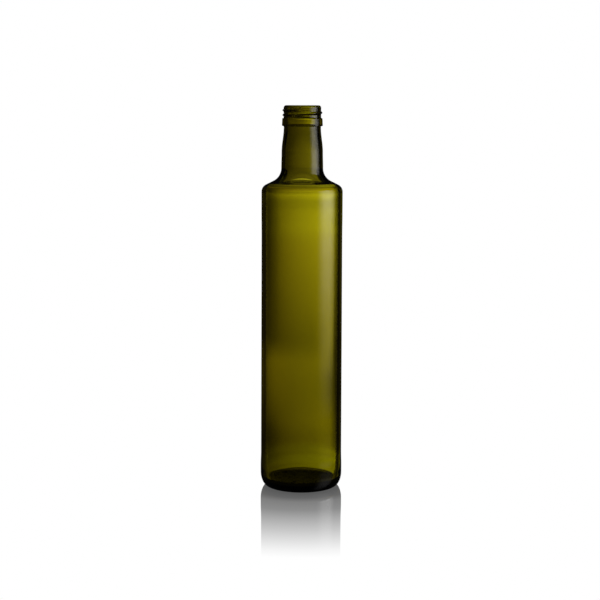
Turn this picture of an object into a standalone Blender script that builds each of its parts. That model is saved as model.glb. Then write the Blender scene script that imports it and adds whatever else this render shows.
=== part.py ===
"""Half-litre olive oil bottle: empty, uncapped, blown in one piece of olive-green glass.

A straight round body with a tight shoulder, a short neck that widens a little towards its foot,
and a screw finish over a wide plain bead. The base is a raised dome inside a flat bearing ring.
The base's centre is the origin, and the bottle stands along +Z. Units are metres.
"""
import math

import bmesh
import bpy
from mathutils import Vector

# Overall size
HEIGHT = 0.2846
SEGMENTS = 48

# Mouth and rim
MOUTH_RADIUS = 0.0108
RIM_OUTER_ROUNDING = 0.0018
RIM_INNER_ROUNDING = 0.0007

# Screw finish: one thread, right-handed, of a little under two turns
THREAD_ROOT_RADIUS = 0.01375
THREAD_RISE = 0.0009
THREAD_HALF_WIDTH = 0.0012
THREAD_PITCH = 0.0035
THREAD_START_Z = 0.2757
THREAD_TURNS = 1.75
THREAD_FADE_TURNS = 0.12
THREAD_ROW_HEIGHT = 0.0005

# Plain bead under the thread
BEAD_BOTTOM_Z = 0.2696
BEAD_TOP_Z = 0.2754
BEAD_BOTTOM_RADIUS = 0.015
BEAD_TOP_RADIUS = 0.0148
BEAD_TOP_ROUNDING = 0.0009
BEAD_BOTTOM_ROUNDING = 0.0004

# Neck, from the undercut below the bead down to the foot
NECK_TOP_Z = 0.2692
NECK_TOP_RADIUS = 0.0136
NECK_SWELL_Z = 0.250
NECK_SWELL_RADIUS = 0.0152
NECK_FOOT_Z = 0.2387
NECK_FOOT_RADIUS = 0.01542
NECK_BORE_RADIUS = 0.0125

# Shoulder: a hollow curve out of the neck, a short straight slope and a round corner
SHOULDER_HOLLOW_RADIUS = 0.0105
SHOULDER_SLOPE = math.radians(26.5)
SHOULDER_CORNER_RADIUS = 0.0058
SHOULDER_RADIUS = 0.02997

# Inside of the shoulder: the glass thins on the slope, and its inner corner turns more softly
INNER_FOOT_RADIUS = 0.01274
INNER_HOLLOW_RADIUS = 0.0124
INNER_SLOPE = math.radians(23.5)
INNER_CORNER_WIDTH = 0.0068
INNER_CORNER_HEIGHT = 0.0061
SHOULDER_WALL = 0.0013

# Body: the label panel lies a hair behind the bands at the shoulder and the heel
SHOULDER_BAND_BOTTOM_Z = 0.205
PANEL_TOP_Z = 0.188
PANEL_TOP_RADIUS = 0.02988
PANEL_BOTTOM_Z = 0.026
PANEL_BOTTOM_RADIUS = 0.03025
HEEL_BAND_TOP_Z = 0.015
HEEL_RADIUS = 0.0305
BODY_BORE_RADIUS = 0.02697

# Base
HEEL_CURVE_HEIGHT = 0.0102
BEARING_OUTER_RADIUS = 0.0253
BEARING_INNER_RADIUS = 0.0228
PUSH_UP_HEIGHT = 0.0041
FLOOR_CURVE_TOP_Z = 0.018
FLOOR_EDGE_RADIUS = 0.0247
FLOOR_EDGE_Z = 0.0055
FLOOR_CENTRE_Z = 0.0076

OLIVE_GREEN = (0.21, 0.19, 0.01, 1.0)


def curve(centre, across, up, start, end, steps):
    """Points (radius, z) on an ellipse about centre, from angle start to end in degrees."""
    points = []
    for i in range(steps + 1):
        angle = math.radians(start + (end - start) * i / steps)
        points.append((centre[0] + across * math.cos(angle), centre[1] + up * math.sin(angle)))
    return points


def s_curve(start, end, steps):
    """Points (radius, z) that leave start and reach end upright, with a soft bend between."""
    points = []
    for i in range(steps + 1):
        share = i / steps
        eased = (1 - math.cos(math.pi * share)) / 2
        points.append((start[0] + (end[0] - start[0]) * eased, start[1] + (end[1] - start[1]) * share))
    return points


def cap(edge_radius, edge_z, centre_z, steps):
    """Points (radius, z) on a spherical cap, from its centre on the axis out to its edge."""
    rise = centre_z - edge_z
    sphere = (edge_radius ** 2 + rise ** 2) / (2 * rise)
    reach = math.degrees(math.asin(edge_radius / sphere))
    return curve((0.0, centre_z - sphere), sphere, sphere, 90, 90 - reach, steps)


def slope_end():
    """Point (radius, z) at which the shoulder's outer slope meets its corner."""
    hollow_r = NECK_FOOT_RADIUS + SHOULDER_HOLLOW_RADIUS * (1 - math.sin(SHOULDER_SLOPE))
    hollow_z = NECK_FOOT_Z - SHOULDER_HOLLOW_RADIUS * math.cos(SHOULDER_SLOPE)
    end_r = SHOULDER_RADIUS - SHOULDER_CORNER_RADIUS * (1 - math.sin(SHOULDER_SLOPE))
    return end_r, hollow_z - (end_r - hollow_r) * math.tan(SHOULDER_SLOPE)


def outer_shoulder():
    """The shoulder's outside: a hollow at the neck's foot, a slope and a tight corner."""
    slope = math.degrees(SHOULDER_SLOPE)
    hollow, corner = SHOULDER_HOLLOW_RADIUS, SHOULDER_CORNER_RADIUS
    corner_z = slope_end()[1] - corner * math.cos(SHOULDER_SLOPE)
    points = curve((NECK_FOOT_RADIUS + hollow, NECK_FOOT_Z), hollow, hollow, 180, 270 - slope, 6)
    points += curve((SHOULDER_RADIUS - corner, corner_z), corner, corner, 90 - slope, 0, 5)
    return points


def inner_shoulder():
    """The shoulder's inside, from the neck's foot down to the body's bore."""
    end_r, end_z = slope_end()
    line_r = end_r - SHOULDER_WALL * math.sin(SHOULDER_SLOPE)
    line_z = end_z - SHOULDER_WALL * math.cos(SHOULDER_SLOPE)
    fall = math.tan(INNER_SLOPE)
    width, height = INNER_CORNER_WIDTH, INNER_CORNER_HEIGHT
    corner_r = BODY_BORE_RADIUS - width
    corner_z = line_z - (corner_r - line_r) * fall - math.hypot(height, width * fall)
    corner_start = math.degrees(math.atan2(height, width * fall))
    hollow = INNER_HOLLOW_RADIUS
    hollow_r = INNER_FOOT_RADIUS + hollow
    hollow_z = line_z - (hollow_r - line_r) * fall + hollow / math.cos(INNER_SLOPE)
    points = curve((hollow_r, hollow_z), hollow, hollow, 180, 270 - math.degrees(INNER_SLOPE), 5)
    points += curve((corner_r, corner_z), width, height, corner_start, 0, 5)
    return points


def finish_outline():
    """The rim's outer corner, the thread's root and the bead, from the rim down to the undercut."""
    rim_r = THREAD_ROOT_RADIUS - RIM_OUTER_ROUNDING
    rim_z = HEIGHT - RIM_OUTER_ROUNDING
    points = curve((rim_r, rim_z), RIM_OUTER_ROUNDING, RIM_OUTER_ROUNDING, 90, 0, 4)
    rows = round((rim_z - BEAD_TOP_Z) / THREAD_ROW_HEIGHT)
    for i in range(1, rows + 1):
        points.append((THREAD_ROOT_RADIUS, rim_z + (BEAD_TOP_Z - rim_z) * i / rows))
    top_centre = (BEAD_TOP_RADIUS - BEAD_TOP_ROUNDING, BEAD_TOP_Z - BEAD_TOP_ROUNDING)
    points += curve(top_centre, BEAD_TOP_ROUNDING, BEAD_TOP_ROUNDING, 90, 0, 3)
    bottom_centre = (BEAD_BOTTOM_RADIUS - BEAD_BOTTOM_ROUNDING, BEAD_BOTTOM_Z + BEAD_BOTTOM_ROUNDING)
    points += curve(bottom_centre, BEAD_BOTTOM_ROUNDING, BEAD_BOTTOM_ROUNDING, 0, -90, 2)
    return points


def outer_outline():
    """The outside, from the rim down to the outer edge of the bearing ring."""
    points = finish_outline()
    points += s_curve((NECK_TOP_RADIUS, NECK_TOP_Z), (NECK_SWELL_RADIUS, NECK_SWELL_Z), 7)
    points += s_curve((NECK_SWELL_RADIUS, NECK_SWELL_Z), (NECK_FOOT_RADIUS, NECK_FOOT_Z), 3)[1:-1]
    points += outer_shoulder()
    points += s_curve((SHOULDER_RADIUS, SHOULDER_BAND_BOTTOM_Z), (PANEL_TOP_RADIUS, PANEL_TOP_Z), 2)
    points += s_curve((PANEL_BOTTOM_RADIUS, PANEL_BOTTOM_Z), (HEEL_RADIUS, HEEL_BAND_TOP_Z), 2)
    heel_width = HEEL_RADIUS - BEARING_OUTER_RADIUS
    heel_centre = (BEARING_OUTER_RADIUS, HEEL_CURVE_HEIGHT)
    points += curve(heel_centre, heel_width, HEEL_CURVE_HEIGHT, 0, -90, 6)
    return points


def underside():
    """The raised dome under the base, from the bearing ring's inner edge in to the axis."""
    return list(reversed(cap(BEARING_INNER_RADIUS, 0.0, PUSH_UP_HEIGHT, 5)))


def inner_outline():
    """The inside, from the middle of the floor up through the neck to the rim's inner edge."""
    points = cap(FLOOR_EDGE_RADIUS, FLOOR_EDGE_Z, FLOOR_CENTRE_Z, 4)
    floor_centre = (FLOOR_EDGE_RADIUS, FLOOR_CURVE_TOP_Z)
    floor_width = BODY_BORE_RADIUS - FLOOR_EDGE_RADIUS
    points += curve(floor_centre, floor_width, FLOOR_CURVE_TOP_Z - FLOOR_EDGE_Z, -90, 0, 5)[1:]
    points += reversed(inner_shoulder())
    points += s_curve(points[-1], (NECK_BORE_RADIUS, NECK_SWELL_Z), 3)[1:-1]
    points += s_curve((NECK_BORE_RADIUS, NECK_SWELL_Z), (MOUTH_RADIUS, NECK_TOP_Z), 4)
    rim_centre = (MOUTH_RADIUS + RIM_INNER_ROUNDING, HEIGHT - RIM_INNER_ROUNDING)
    points += curve(rim_centre, RIM_INNER_ROUNDING, RIM_INNER_ROUNDING, 180, 90, 3)
    return points


def thread_height(z, angle):
    """How far the thread stands out of its root at a height and an angle about the axis."""
    for turn in range(math.ceil(THREAD_TURNS)):
        wound = angle / math.tau + turn
        if wound > THREAD_TURNS:
            continue
        off_centre = (z - THREAD_START_Z - THREAD_PITCH * wound) / THREAD_HALF_WIDTH
        if abs(off_centre) < 1:
            from_end = min(wound, THREAD_TURNS - wound)
            fade = min(from_end / THREAD_FADE_TURNS, 1.0)
            return THREAD_RISE * fade * math.cos(math.pi / 2 * off_centre) ** 1.5
    return 0.0


def raise_thread(bm):
    """Moves the finish's outer points out to the thread, where it stands above them."""
    rim_corner = HEIGHT - RIM_OUTER_ROUNDING
    between_walls = (MOUTH_RADIUS + THREAD_ROOT_RADIUS) / 2
    for vert in bm.verts:
        x, y, z = vert.co
        radius = math.hypot(x, y)
        if radius > between_walls and BEAD_BOTTOM_Z < z < rim_corner:
            out = THREAD_ROOT_RADIUS + thread_height(z, math.atan2(y, x) % math.tau)
            if out > radius:
                vert.co = Vector((x * out / radius, y * out / radius, z))


def bottle_mesh():
    """The whole bottle as one closed skin: the outline turned about Z, then the thread raised."""
    bm = bmesh.new()
    outline = list(inner_outline()) + outer_outline() + underside()
    verts = [bm.verts.new((radius, 0.0, z)) for radius, z in outline]
    edges = [bm.edges.new(pair) for pair in zip(verts, verts[1:])]
    bmesh.ops.spin(
        bm, geom=verts + edges, cent=(0, 0, 0), axis=(0, 0, 1), angle=math.tau, steps=SEGMENTS,
        use_merge=True,
    )
    bmesh.ops.remove_doubles(bm, verts=bm.verts, dist=1e-6)
    raise_thread(bm)
    bmesh.ops.recalc_face_normals(bm, faces=bm.faces)
    mesh = bpy.data.meshes.new("bottle")
    bm.to_mesh(mesh)
    bm.free()
    mesh.shade_smooth()
    mesh.set_sharp_from_angle(angle=math.radians(50))
    return mesh


def olive_glass():
    """Clear olive-green glass."""
    material = bpy.data.materials.new("olive_glass")
    material.use_nodes = True
    shader = material.node_tree.nodes["Principled BSDF"]
    shader.inputs["Base Color"].default_value = OLIVE_GREEN
    shader.inputs["Metallic"].default_value = 0.0
    shader.inputs["Roughness"].default_value = 0.03
    shader.inputs["IOR"].default_value = 1.52
    shader.inputs["Transmission Weight"].default_value = 1.0
    return material


def main():
    for old in list(bpy.data.objects):
        bpy.data.objects.remove(old)
    bottle = bpy.data.objects.new("bottle", bottle_mesh())
    bottle.data.materials.append(olive_glass())
    bpy.context.scene.collection.objects.link(bottle)


main()
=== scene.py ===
import math

import bmesh
import bpy
from mathutils import Matrix, Vector


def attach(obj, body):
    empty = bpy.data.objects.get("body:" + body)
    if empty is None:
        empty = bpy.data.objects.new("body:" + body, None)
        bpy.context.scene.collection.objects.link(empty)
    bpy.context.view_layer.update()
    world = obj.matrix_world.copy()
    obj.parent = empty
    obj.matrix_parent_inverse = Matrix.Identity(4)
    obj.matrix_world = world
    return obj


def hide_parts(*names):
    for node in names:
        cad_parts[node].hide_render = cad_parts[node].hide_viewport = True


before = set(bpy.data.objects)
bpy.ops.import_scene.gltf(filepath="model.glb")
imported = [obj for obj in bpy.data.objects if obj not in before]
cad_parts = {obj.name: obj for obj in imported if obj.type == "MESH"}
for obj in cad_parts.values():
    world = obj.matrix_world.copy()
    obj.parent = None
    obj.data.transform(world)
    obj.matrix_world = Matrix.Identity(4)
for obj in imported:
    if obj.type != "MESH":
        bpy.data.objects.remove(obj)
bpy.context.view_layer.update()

# Sizes are in metres, with the names and values of the part's source
HEIGHT = 0.2846

# Mouth and rim
MOUTH_RADIUS = 0.0108
RIM_OUTER_ROUNDING = 0.0018
RIM_INNER_ROUNDING = 0.0007

# Screw finish: one right-handed thread
THREAD_ROOT_RADIUS = 0.01375
THREAD_RISE = 0.0009
THREAD_HALF_WIDTH = 0.0012
THREAD_PITCH = 0.0035
THREAD_START_Z = 0.2757
THREAD_TURNS = 1.75
THREAD_FADE_TURNS = 0.12
THREAD_SHARPNESS = 1.5

# Plain bead under the thread
BEAD_BOTTOM_Z = 0.2696
BEAD_TOP_Z = 0.2754
BEAD_BOTTOM_RADIUS = 0.015
BEAD_TOP_RADIUS = 0.0148
BEAD_TOP_ROUNDING = 0.0009
BEAD_BOTTOM_ROUNDING = 0.0004

# Neck
NECK_TOP_Z = 0.2692
NECK_TOP_RADIUS = 0.0136
NECK_SWELL_Z = 0.250
NECK_SWELL_RADIUS = 0.0152
NECK_FOOT_Z = 0.2387
NECK_FOOT_RADIUS = 0.01542
NECK_BORE_RADIUS = 0.0125

# Shoulder
SHOULDER_HOLLOW_RADIUS = 0.0105
SHOULDER_SLOPE = math.radians(26.5)
SHOULDER_CORNER_RADIUS = 0.0058
SHOULDER_RADIUS = 0.02997

# Inside of the shoulder, and its wall where the slope meets the corner
INNER_FOOT_RADIUS = 0.01274
INNER_HOLLOW_RADIUS = 0.0124
INNER_SLOPE = math.radians(23.5)
INNER_CORNER_WIDTH = 0.0068
INNER_CORNER_HEIGHT = 0.0061
SHOULDER_WALL = 0.0013

# Body
SHOULDER_BAND_BOTTOM_Z = 0.205
PANEL_TOP_Z = 0.188
PANEL_TOP_RADIUS = 0.02988
PANEL_BOTTOM_Z = 0.026
PANEL_BOTTOM_RADIUS = 0.03025
HEEL_BAND_TOP_Z = 0.015
HEEL_RADIUS = 0.0305
BODY_BORE_RADIUS = 0.02697

# Base
HEEL_CURVE_HEIGHT = 0.0102
BEARING_OUTER_RADIUS = 0.0253
BEARING_INNER_RADIUS = 0.0228
PUSH_UP_HEIGHT = 0.0041
FLOOR_CURVE_TOP_Z = 0.018
FLOOR_EDGE_RADIUS = 0.0247
FLOOR_EDGE_Z = 0.0055
FLOOR_CENTRE_Z = 0.0076

# Fineness of the mesh: faces round the axis, rows over the thread, rows on a straight run and how
# near its ends they start, how near to each other points are one, and the angle of a sharp edge
SEGMENTS = 256
THREAD_ROW_HEIGHT = 0.0002
RUN_STEP = 0.006
RUN_END = 0.0004
MERGE_DISTANCE = 1e-6
SHARP_ANGLE = math.radians(50)

# Glass: the tint of its skin, and what its inside lets through
SKIN_COLOUR = (0.95, 0.94, 0.75, 1.0)
INSIDE_COLOUR = (0.8593, 0.8240, 0.0, 1.0)
INSIDE_DENSITY = 824.5
GLASS_IOR = 1.5

# Skin of the glass: the size of its waves and grain, its relief and its roughness
WAVE_SCALE = 38.0
GRAIN_SCALE = 1100.0
SEAM_RELIEF = 0.3
RELIEF_STRENGTH = 0.25
RELIEF_HEIGHT = 0.0004
LEAST_ROUGHNESS = 0.009
WAVE_ROUGHNESS = 0.012
RING_ROUGHNESS = 0.25

# Camera: where it stands, how far it looks down and how far it leans
CAMERA_PLACE = (-0.00125, -1.0549, 0.28235)
CAMERA_DOWN = math.radians(7.65)
CAMERA_LEAN = math.radians(0.22)
CAMERA_LENS = 85.62
SENSOR_WIDTH = 36.0

# Floor: how far it reaches each way, and the painted shadow on it under the bottle: a dark disc that only
# light through the glass meets
WHITE = (1.0, 1.0, 1.0, 1.0)
FLOOR_REACH = 3.0
FLOOR_Z = -0.0001
SHADE_RADIUS = 0.034
SHADE_Z = -0.00005
SHADE_LIGHT = 0.005

# Room: the least light that the glass mirrors, and what the light behind loses once mirrored
LEAST_MIRRORED = 0.006
LOST_WHEN_MIRRORED = 0.6


def curve(centre, across, up, start, end, steps):
    """Points (radius, z) on an ellipse about centre, from angle start to end in degrees."""
    points = []
    for i in range(steps + 1):
        angle = math.radians(start + (end - start) * i / steps)
        points.append((centre[0] + across * math.cos(angle), centre[1] + up * math.sin(angle)))
    return points


def s_curve(start, end, steps):
    """Points (radius, z) that leave start and reach end upright, with a soft bend between."""
    points = []
    for i in range(steps + 1):
        share = i / steps
        eased = (1 - math.cos(math.pi * share)) / 2
        points.append((start[0] + (end[0] - start[0]) * eased, start[1] + (end[1] - start[1]) * share))
    return points


def straight(start, end):
    """Points (radius, z) on a straight run, close together at its ends to keep its shading flat."""
    length = math.dist(start, end)
    inner = max(1, round((length - 2 * RUN_END) / RUN_STEP))
    places = [RUN_END + (length - 2 * RUN_END) * i / inner for i in range(inner + 1)]
    return [
        (start[0] + (end[0] - start[0]) * at / length, start[1] + (end[1] - start[1]) * at / length)
        for at in places
    ]


def cap(edge_radius, edge_z, centre_z, steps):
    """Points (radius, z) on a spherical cap, from its centre on the axis out to its edge."""
    rise = centre_z - edge_z
    sphere = (edge_radius ** 2 + rise ** 2) / (2 * rise)
    reach = math.degrees(math.asin(edge_radius / sphere))
    return curve((0.0, centre_z - sphere), sphere, sphere, 90, 90 - reach, steps)


def joined(*runs):
    """All runs one after another, with a straight run between each and the next."""
    points = list(runs[0])
    for run in runs[1:]:
        if math.dist(points[-1], run[0]) > 3 * RUN_END:
            points += straight(points[-1], run[0])
        points += run
    return points


def slope_end():
    """Point (radius, z) at which the shoulder's outer slope meets its corner."""
    hollow_r = NECK_FOOT_RADIUS + SHOULDER_HOLLOW_RADIUS * (1 - math.sin(SHOULDER_SLOPE))
    hollow_z = NECK_FOOT_Z - SHOULDER_HOLLOW_RADIUS * math.cos(SHOULDER_SLOPE)
    end_r = SHOULDER_RADIUS - SHOULDER_CORNER_RADIUS * (1 - math.sin(SHOULDER_SLOPE))
    return end_r, hollow_z - (end_r - hollow_r) * math.tan(SHOULDER_SLOPE)


def outer_shoulder():
    """The shoulder's outside: a hollow at the neck's foot, a slope and a tight corner."""
    slope = math.degrees(SHOULDER_SLOPE)
    hollow, corner = SHOULDER_HOLLOW_RADIUS, SHOULDER_CORNER_RADIUS
    corner_z = slope_end()[1] - corner * math.cos(SHOULDER_SLOPE)
    return joined(
        curve((NECK_FOOT_RADIUS + hollow, NECK_FOOT_Z), hollow, hollow, 180, 270 - slope, 24),
        curve((SHOULDER_RADIUS - corner, corner_z), corner, corner, 90 - slope, 0, 20),
    )


def inner_shoulder():
    """The shoulder's inside, which thins towards the corner and turns more softly there."""
    end_r, end_z = slope_end()
    line_r = end_r - SHOULDER_WALL * math.sin(SHOULDER_SLOPE)
    line_z = end_z - SHOULDER_WALL * math.cos(SHOULDER_SLOPE)
    fall = math.tan(INNER_SLOPE)
    width, height = INNER_CORNER_WIDTH, INNER_CORNER_HEIGHT
    corner_r = BODY_BORE_RADIUS - width
    corner_z = line_z - (corner_r - line_r) * fall - math.hypot(height, width * fall)
    corner_start = math.degrees(math.atan2(height, width * fall))
    hollow = INNER_HOLLOW_RADIUS
    hollow_r = INNER_FOOT_RADIUS + hollow
    hollow_z = line_z - (hollow_r - line_r) * fall + hollow / math.cos(INNER_SLOPE)
    return joined(
        curve((hollow_r, hollow_z), hollow, hollow, 180, 270 - math.degrees(INNER_SLOPE), 24),
        curve((corner_r, corner_z), width, height, corner_start, 0, 20),
    )


def finish_outline():
    """The rim's outer corner, the thread's root and the bead, from the rim down to the undercut."""
    rim_r = THREAD_ROOT_RADIUS - RIM_OUTER_ROUNDING
    rim_z = HEIGHT - RIM_OUTER_ROUNDING
    points = curve((rim_r, rim_z), RIM_OUTER_ROUNDING, RIM_OUTER_ROUNDING, 90, 0, 8)
    rows = round((rim_z - BEAD_TOP_Z) / THREAD_ROW_HEIGHT)
    for i in range(1, rows + 1):
        points.append((THREAD_ROOT_RADIUS, rim_z + (BEAD_TOP_Z - rim_z) * i / rows))
    top_centre = (BEAD_TOP_RADIUS - BEAD_TOP_ROUNDING, BEAD_TOP_Z - BEAD_TOP_ROUNDING)
    points += curve(top_centre, BEAD_TOP_ROUNDING, BEAD_TOP_ROUNDING, 90, 0, 6)
    bottom_centre = (BEAD_BOTTOM_RADIUS - BEAD_BOTTOM_ROUNDING, BEAD_BOTTOM_Z + BEAD_BOTTOM_ROUNDING)
    return joined(points, curve(bottom_centre, BEAD_BOTTOM_ROUNDING, BEAD_BOTTOM_ROUNDING, 0, -90, 4))


def outer_outline():
    """The outside, from the rim down to the outer edge of the bearing ring."""
    heel_width = HEEL_RADIUS - BEARING_OUTER_RADIUS
    heel_centre = (BEARING_OUTER_RADIUS, HEEL_CURVE_HEIGHT)
    return joined(
        finish_outline(),
        s_curve((NECK_TOP_RADIUS, NECK_TOP_Z), (NECK_SWELL_RADIUS, NECK_SWELL_Z), 16),
        s_curve((NECK_SWELL_RADIUS, NECK_SWELL_Z), (NECK_FOOT_RADIUS, NECK_FOOT_Z), 12),
        outer_shoulder(),
        s_curve((SHOULDER_RADIUS, SHOULDER_BAND_BOTTOM_Z), (PANEL_TOP_RADIUS, PANEL_TOP_Z), 8),
        s_curve((PANEL_BOTTOM_RADIUS, PANEL_BOTTOM_Z), (HEEL_RADIUS, HEEL_BAND_TOP_Z), 6),
        curve(heel_centre, heel_width, HEEL_CURVE_HEIGHT, 0, -90, 18),
    )


def underside():
    """The raised dome under the base, from the bearing ring's inner edge in to the axis."""
    return list(reversed(cap(BEARING_INNER_RADIUS, 0.0, PUSH_UP_HEIGHT, 16)))


def inner_outline():
    """The inside, from the middle of the floor up through the neck to the rim's inner edge."""
    floor_centre = (FLOOR_EDGE_RADIUS, FLOOR_CURVE_TOP_Z)
    floor_width = BODY_BORE_RADIUS - FLOOR_EDGE_RADIUS
    rim_centre = (MOUTH_RADIUS + RIM_INNER_ROUNDING, HEIGHT - RIM_INNER_ROUNDING)
    shoulder = list(reversed(inner_shoulder()))
    return joined(
        cap(FLOOR_EDGE_RADIUS, FLOOR_EDGE_Z, FLOOR_CENTRE_Z, 14)[:-1],
        curve(floor_centre, floor_width, FLOOR_CURVE_TOP_Z - FLOOR_EDGE_Z, -90, 0, 16),
        shoulder,
        s_curve(shoulder[-1], (NECK_BORE_RADIUS, NECK_SWELL_Z), 12),
        s_curve((NECK_BORE_RADIUS, NECK_SWELL_Z), (MOUTH_RADIUS, NECK_TOP_Z), 12),
        curve(rim_centre, RIM_INNER_ROUNDING, RIM_INNER_ROUNDING, 180, 90, 6),
    )


def thread_height(z, angle):
    """How far the thread stands out of its root at a height and an angle about the axis."""
    for turn in range(math.ceil(THREAD_TURNS)):
        wound = angle / math.tau + turn
        if wound > THREAD_TURNS:
            continue
        off_centre = (z - THREAD_START_Z - THREAD_PITCH * wound) / THREAD_HALF_WIDTH
        if abs(off_centre) < 1:
            from_end = min(wound, THREAD_TURNS - wound)
            fade = min(from_end / THREAD_FADE_TURNS, 1.0)
            return THREAD_RISE * fade * math.cos(math.pi / 2 * off_centre) ** THREAD_SHARPNESS
    return 0.0


def raise_thread(bm):
    """Moves the finish's outer points out to the thread, where it stands above them."""
    rim_corner = HEIGHT - RIM_OUTER_ROUNDING
    between_walls = (MOUTH_RADIUS + THREAD_ROOT_RADIUS) / 2
    for vert in bm.verts:
        x, y, z = vert.co
        radius = math.hypot(x, y)
        if radius > between_walls and BEAD_BOTTOM_Z < z < rim_corner:
            out = THREAD_ROOT_RADIUS + thread_height(z, math.atan2(y, x) % math.tau)
            if out > radius:
                vert.co = Vector((x * out / radius, y * out / radius, z))


def face_rank(face, count):
    """A number from a face's first three points, which gives the faces the same order each time."""
    first, second, third = sorted(vert.index for vert in face.verts)[:3]
    return (first * count + second) * count + third


def bottle_mesh():
    """The whole bottle as one closed skin: the outline turned about Z, then the thread raised."""
    bm = bmesh.new()
    outline = inner_outline() + outer_outline() + underside()
    verts = [bm.verts.new((radius, 0.0, z)) for radius, z in outline]
    edges = [bm.edges.new(pair) for pair in zip(verts, verts[1:])]
    bmesh.ops.spin(
        bm, geom=verts + edges, cent=(0, 0, 0), axis=(0, 0, 1), angle=math.tau, steps=SEGMENTS,
        use_merge=True,
    )
    raise_thread(bm)
    bmesh.ops.remove_doubles(bm, verts=bm.verts, dist=MERGE_DISTANCE)
    bmesh.ops.recalc_face_normals(bm, faces=bm.faces)
    bm.verts.index_update()
    count = len(bm.verts)
    bm.faces.sort(key=lambda face: face_rank(face, count))
    mesh = bpy.data.meshes.new("bottle_glass")
    bm.to_mesh(mesh)
    bm.free()
    mesh.shade_smooth()
    mesh.set_sharp_from_angle(angle=SHARP_ANGLE)
    return mesh


class Tree:
    """Adds nodes to a node tree and joins them up."""

    def __init__(self, tree):
        self.nodes = tree.nodes
        self.links = tree.links
        self.nodes.clear()

    def add(self, kind, inputs=(), **settings):
        """Adds a node. An input is a number, a colour or another node's output socket."""
        node = self.nodes.new(kind)
        for name, value in settings.items():
            setattr(node, name, value)
        for name, value in dict(inputs).items():
            if isinstance(value, bpy.types.NodeSocket):
                self.links.new(value, node.inputs[name])
            else:
                node.inputs[name].default_value = value
        return node

    def math(self, operation, first, second=0.0):
        return self.add("ShaderNodeMath", {0: first, 1: second}, operation=operation).outputs[0]

    def mixed(self, share, first, second):
        """The first number where share is 0, and the second where it is 1."""
        return self.add("ShaderNodeMix", {0: share, 2: first, 3: second}).outputs[0]

    def noise(self, place, scale, detail):
        inputs = {"Vector": place, "Scale": scale, "Detail": detail}
        return self.add("ShaderNodeTexNoise", inputs).outputs["Fac"]

    def steps(self, value, low, high, stops):
        """Straight runs of result over value, through stops (value, result) from low to high."""
        share = self.add(
            "ShaderNodeMapRange", {"Value": value, "From Min": low, "From Max": high},
        ).outputs["Result"]
        ramp = self.add("ShaderNodeValToRGB", {"Fac": share})
        ramp.color_ramp.interpolation = "LINEAR"
        points = ramp.color_ramp.elements
        for i, (place, result) in enumerate(stops):
            at = (place - low) / (high - low)
            point = points[i] if i < 2 else points.new(at)
            point.position = at
            point.color = (result, result, result, 1.0)
        return ramp.outputs["Color"]


def new_material(name):
    """A material without nodes, and the tree that takes them."""
    material = bpy.data.materials.new(name)
    material.use_nodes = True
    return material, Tree(material.node_tree)


def olive_glass():
    """Olive-green glass: the colour comes from its thickness, and the skin is a little uneven."""
    material, tree = new_material("olive_glass")
    place = tree.add("ShaderNodeTexCoord").outputs["Object"]
    _, y, z = tree.add("ShaderNodeSeparateXYZ", {0: place}).outputs
    waves = tree.noise(place, WAVE_SCALE, 1.0)
    grain = tree.noise(place, GRAIN_SCALE, 2.0)
    seam = tree.steps(tree.math("ABSOLUTE", y), 0.0, 0.001, [(0.0, 1.0), (0.00008, 0.8), (0.0003, 0.0)])
    ring = tree.steps(z, 0.0, 0.002, [(0.0, 1.0), (0.0003, 0.8), (0.0009, 0.0)])
    height = tree.math("ADD", waves, tree.math("MULTIPLY", seam, SEAM_RELIEF))
    height = tree.math("ADD", height, tree.math("MULTIPLY", grain, ring))
    bump = tree.add(
        "ShaderNodeBump", {"Height": height, "Strength": RELIEF_STRENGTH, "Distance": RELIEF_HEIGHT},
    )
    roughness = tree.math("ADD", tree.math("MULTIPLY", waves, WAVE_ROUGHNESS), LEAST_ROUGHNESS)
    roughness = tree.math("ADD", roughness, tree.math("MULTIPLY", ring, RING_ROUGHNESS))
    shader = tree.add(
        "ShaderNodeBsdfPrincipled",
        {
            "Base Color": SKIN_COLOUR,
            "Roughness": roughness,
            "IOR": GLASS_IOR,
            "Transmission Weight": 1.0,
            "Normal": bump.outputs["Normal"],
        },
    )
    tint = tree.add("ShaderNodeVolumeAbsorption", {"Color": INSIDE_COLOUR, "Density": INSIDE_DENSITY})
    tree.add(
        "ShaderNodeOutputMaterial",
        {"Surface": shader.outputs["BSDF"], "Volume": tint.outputs["Volume"]},
    )
    return material


def make_bottle():
    bottle = bpy.data.objects.new("bottle_glass", bottle_mesh())
    bottle.data.materials.append(olive_glass())
    bpy.context.scene.collection.objects.link(bottle)
    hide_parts("bottle")
    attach(bottle, "root")


def make_camera():
    camera = bpy.data.objects.new("camera", bpy.data.cameras.new("camera"))
    camera.data.sensor_width = SENSOR_WIDTH
    camera.data.lens = CAMERA_LENS
    camera.location = CAMERA_PLACE
    turn = Matrix.Rotation(math.pi / 2 - CAMERA_DOWN, 3, "X") @ Matrix.Rotation(CAMERA_LEAN, 3, "Z")
    camera.rotation_euler = turn.to_euler()
    bpy.context.scene.collection.objects.link(camera)
    bpy.context.scene.camera = camera


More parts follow.
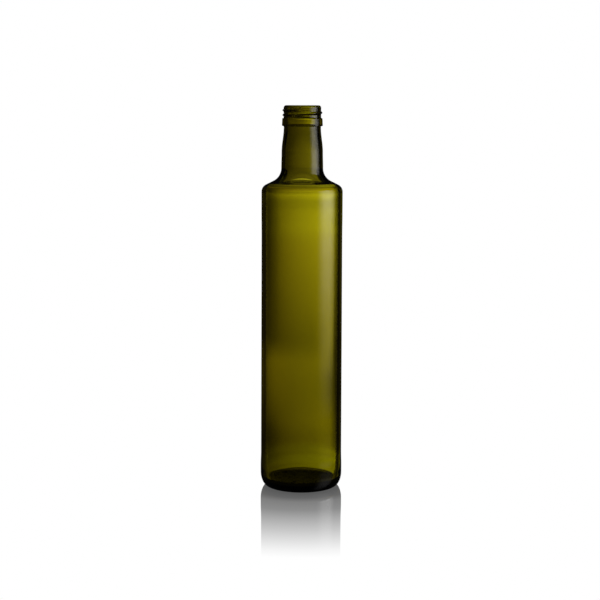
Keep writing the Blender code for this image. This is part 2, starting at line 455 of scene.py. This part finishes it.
def floor_material():
    """White, with a mirror-like sheen that dies away from the bottle's foot."""
    material, tree = new_material("white_floor")
    place = tree.add("ShaderNodeTexCoord").outputs["Object"]
    away = tree.add("ShaderNodeVectorMath", {0: place}, operation="LENGTH").outputs["Value"]
    sheen = tree.steps(away, 0.0, 0.25, [
        (0.0, 0.9), (0.028, 0.9), (0.040, 0.87), (0.051, 0.79), (0.072, 0.735), (0.120, 0.43), (0.147, 0.23),
        (0.164, 0.095), (0.180, 0.0),
    ])
    white = tree.add("ShaderNodeEmission", {"Color": WHITE, "Strength": 1.0})
    mirror = tree.add("ShaderNodeBsdfGlossy", {"Color": WHITE, "Roughness": 0.0})
    mix = tree.add("ShaderNodeMixShader", {0: sheen, 1: white.outputs[0], 2: mirror.outputs[0]})
    tree.add("ShaderNodeOutputMaterial", {"Surface": mix.outputs[0]})
    return material


def make_floor():
    """The white floor, which light through the glass doesn't meet."""
    mesh = bpy.data.meshes.new("floor")
    corners = [(-1, -1), (1, -1), (1, 1), (-1, 1)]
    mesh.from_pydata([(x * FLOOR_REACH, y * FLOOR_REACH, 0) for x, y in corners], [], [(0, 1, 2, 3)])
    mesh.materials.append(floor_material())
    floor = bpy.data.objects.new("floor", mesh)
    floor.location.z = FLOOR_Z
    floor.visible_transmission = False
    floor.visible_glossy = False
    floor.visible_shadow = False
    bpy.context.scene.collection.objects.link(floor)


def make_painted_shadow():
    """A painted shadow under the bottle: a dark disc on the floor, which only light through the glass meets.
    """
    mesh = bpy.data.meshes.new("painted_shadow_under_bottle")
    bm = bmesh.new()
    bmesh.ops.create_circle(bm, cap_ends=True, radius=SHADE_RADIUS, segments=96)
    bm.to_mesh(mesh)
    bm.free()
    material, tree = new_material("painted_shadow_floor")
    # painted shadow: a faint glow standing in for the shade under the bottle
    shade = tree.add("ShaderNodeEmission", {"Color": WHITE, "Strength": SHADE_LIGHT})
    tree.add("ShaderNodeOutputMaterial", {"Surface": shade.outputs[0]})
    mesh.materials.append(material)
    under = bpy.data.objects.new("painted_shadow_under_bottle", mesh)
    under.location.z = SHADE_Z
    under.visible_camera = False
    under.visible_glossy = False
    under.visible_shadow = False
    bpy.context.scene.collection.objects.link(under)


def light_behind(tree, side, rise):
    """The strength of the light seen through the glass, by side and rise in degrees."""
    even = tree.steps(rise, -40, 20, [
        (-40, 0.3), (-32, 0.11), (-20, 0.2), (-14.2, 0.09), (-13.2, 0.06), (-11.5, 0.31), (-10.25, 0.41),
        (-9.4, 0.11), (-5, 0.07), (-3.7, 0.08), (-3.4, 0.2), (-2.9, 0.07), (2.6, 0.08), (4, 0.0),
    ])
    window = tree.steps(side, -180, 180, [
        (-180, 0.9), (-135, 0.6), (-100, 0.8), (-50, 0.3), (-32, 0.32), (-25, 0.6), (-1, 0.69), (5, 1.0),
        (10, 0.62), (14, 0.35), (20, 0.12), (50, 0.05), (100, 0.8), (135, 0.6), (180, 0.9),
    ])
    strong = tree.steps(rise, -40, 20, [
        (-40, 0.1), (-27, 0.1), (-20, 0.25), (-15.2, 0.34), (-14.5, 0.26), (-12.7, 0.27), (-11.5, 0.04),
        (-10.2, 0.0), (-9.3, 0.28), (-5, 0.9), (-4.1, 1.05), (-3.75, 0.7), (-3.4, 1.25), (-3.15, 0.23),
        (-1.4, 0.23), (-0.4, 0.09), (0.6, 0.17), (2.6, 0.14), (4, 0.0),
    ])
    lobe = tree.steps(side, -180, 180, [
        (-180, 0.75), (-135, 0.45), (-100, 0.7), (-60, 0.05), (-12, 0.01), (-6, 0.09), (1, 0.57), (5, 0.93),
        (8, 1.0), (10, 1.0), (14, 0.55), (20, 0.35), (30, 0.06), (60, 0.05), (100, 0.7), (135, 0.45),
        (180, 0.75),
    ])
    low = tree.steps(rise, -40, 20, [
        (-40, 0.0), (-18, 0.7), (-16, 0.75), (-14, 0.27), (-13.4, 0.1), (-11.5, 0.0),
    ])
    right = tree.steps(side, -60, 60, [(3, 0.0), (11, 0.3), (20, 0.95), (25, 0.5), (31, 0.0)])
    streak = tree.steps(rise, -40, 20, [(-11, 0.0), (-9.5, 0.25), (-6.3, 0.0)])
    narrow = tree.steps(side, -60, 60, [(2, 0.0), (7, 1.0), (10.5, 1.0), (14, 0.0)])
    deep = tree.steps(rise, -90, 0, [(-90, 0.7), (-33, 0.5), (-17, 0.12), (-12, 0.0)])
    around = tree.steps(tree.math("ABSOLUTE", side), 0, 180, [(30, 0.0), (50, 0.7), (75, 1.0)])
    behind = tree.math("MULTIPLY", even, window)
    for height, direction in ((strong, lobe), (low, right), (streak, narrow), (deep, around)):
        behind = tree.math("ADD", behind, tree.math("MULTIPLY", height, direction))
    return behind


def light_mirrored(tree, side, rise):
    """The strength of the light that the glass mirrors: one tall soft light on the right."""
    tall = tree.steps(rise, -70, 40, [
        (-70, 0.0), (-30, 0.22), (-17, 0.25), (-14.5, 0.1), (-12.5, 0.0), (-8.5, 0.46), (-6, 1.3),
        (-3.3, 2.6), (0, 2.6), (3, 2.0), (30, 2.0), (34, 0.0),
    ])
    wide = tree.steps(side, 60, 150, [
        (69, 0.0), (75, 0.13), (90, 0.85), (98, 1.0), (115, 0.9), (128, 0.27), (134, 0.06), (140, 0.0),
    ])
    return tree.math("MAXIMUM", tree.math("MULTIPLY", tall, wide), LEAST_MIRRORED)


def green_behind(tree, side, rise):
    """How much green the light behind has against its red and blue, by side and rise in degrees."""
    by_rise = tree.steps(rise, -20, 0, [
        (-20, 1.1), (-15.6, 1.1), (-13.4, 0.96), (-5.7, 0.975), (-3.4, 1.06), (-2.6, 0.96),
    ])
    by_side = tree.steps(side, -60, 60, [(-3, 0.98), (5, 1.07), (20, 1.1), (50, 1.0)])
    return tree.math("MULTIPLY", by_rise, by_side)


def light_room():
    """A white room with a soft light behind the bottle and a tall one to the right of it."""
    world = bpy.data.worlds.new("room")
    bpy.context.scene.world = world
    world.use_nodes = True
    tree = Tree(world.node_tree)
    look = tree.add("ShaderNodeTexCoord").outputs["Generated"]
    x, y, z = tree.add("ShaderNodeSeparateXYZ", {0: look}).outputs
    degree = math.degrees(1.0)
    side = tree.math("MULTIPLY", tree.math("ARCTAN2", x, y), degree)
    rise = tree.math("MULTIPLY", tree.math("ARCSINE", z), degree)

    ray = tree.add("ShaderNodeLightPath").outputs
    once_mirrored = tree.math("GREATER_THAN", ray["Glossy Depth"], 0.5)
    kept = tree.math("SUBTRACT", 1.0, tree.math("MULTIPLY", once_mirrored, LOST_WHEN_MIRRORED))
    behind = tree.math("MULTIPLY", light_behind(tree, side, rise), kept)
    mirrored = light_mirrored(tree, side, rise)
    from_glass = tree.mixed(ray["Is Transmission Ray"], mirrored, behind)
    direct = tree.math("MAXIMUM", ray["Is Camera Ray"], ray["Is Singular Ray"])
    strength = tree.mixed(direct, from_glass, 1.0)
    green = tree.mixed(ray["Is Transmission Ray"], 1.0, green_behind(tree, side, rise))
    colour = tree.add("ShaderNodeCombineColor", {"Red": 1.0, "Green": green, "Blue": 1.0}).outputs[0]
    light = tree.add("ShaderNodeBackground", {"Color": colour, "Strength": strength})
    tree.add("ShaderNodeOutputWorld", {"Surface": light.outputs[0]})


def main():
    bpy.context.scene.view_settings.view_transform = "Standard"
    make_camera()
    make_bottle()
    make_floor()
    # painted shadow under the bottle, seen only through the glass
    make_painted_shadow()
    light_room()


main()
